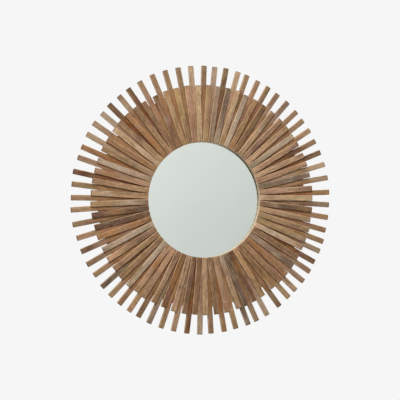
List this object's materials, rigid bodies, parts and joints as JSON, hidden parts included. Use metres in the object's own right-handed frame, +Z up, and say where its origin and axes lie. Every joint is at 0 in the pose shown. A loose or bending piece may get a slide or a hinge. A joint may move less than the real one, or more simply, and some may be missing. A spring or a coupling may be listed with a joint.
{
  "type": "bamboo sunburst wall mirror",
  "caption": "Round sunburst wall mirror: two layers of weathered bamboo slats fanned on a plywood ring round a recessed glass, with a screwed back and a folding D-ring hanger.",
  "frame": {"origin": "centre of the back panel's rear face, which lies on the wall", "axes": "+X to the viewer's right, +Z up, +Y from the viewer into the wall; the glass faces -Y"},
  "size_m": [0.7501, 0.0254, 0.7506],
  "materials": {
    "long_strip": "weathered, unvarnished",
    "short_strip": "weathered, unvarnished",
    "plywood": "sanded, bare",
    "silvered_glass": "polished",
    "grey_card": "matte",
    "hardboard": "smooth pressed board",
    "zinc_screw": "zinc plated",
    "zinc_steel": "zinc plated"
  },
  "bodies": {
    "mirror": {"long_slats_01": "long_strip", "long_slats_02": "long_strip", "long_slats_03": "long_strip", "long_slats_04": "long_strip", "long_slats_05": "long_strip", "long_slats_06": "long_strip", "long_slats_07": "long_strip", "long_slats_08": "long_strip", "long_slats_09": "long_strip", "long_slats_10": "long_strip", "long_slats_11": "long_strip", "long_slats_12": "long_strip", "long_slats_13": "long_strip", "long_slats_14": "long_strip", "long_slats_15": "long_strip", "long_slats_16": "long_strip", "long_slats_17": "long_strip", "long_slats_18": "long_strip", "long_slats_19": "long_strip", "long_slats_20": "long_strip", "long_slats_21": "long_strip", "long_slats_22": "long_strip", "short_slats_01": "short_strip", "short_slats_02": "short_strip", "short_slats_03": "short_strip", "short_slats_04": "short_strip", "short_slats_05": "short_strip", "short_slats_06": "short_strip", "short_slats_07": "short_strip", "short_slats_08": "short_strip", "short_slats_09": "short_strip", "short_slats_10": "short_strip", "short_slats_11": "short_strip", "short_slats_12": "short_strip", "short_slats_13": "short_strip", "short_slats_14": "short_strip", "short_slats_15": "short_strip", "short_slats_16": "short_strip", "short_slats_17": "short_strip", "short_slats_18": "short_strip", "short_slats_19": "short_strip", "short_slats_20": "short_strip", "short_slats_21": "short_strip", "short_slats_22": "short_strip", "carrier_ring": "plywood", "mirror_glass": "silvered_glass", "backing_sheet": "grey_card", "back_panel": "hardboard", "back_panel_screws": "zinc_screw", "hanger_strap": "zinc_steel", "hanger_screw": "zinc_screw"},
    "hang_ring": {"hanger_ring": "zinc_steel"}
  },
  "joints": [
    {"name": "hang_ring_hinge", "type": "hinge", "parent": "mirror", "child": "hang_ring", "pos_m": [0, -0.00322, 0.26271], "axis": [1, 0, 0], "range_deg": [-2.5, 182.5]}
  ]
}
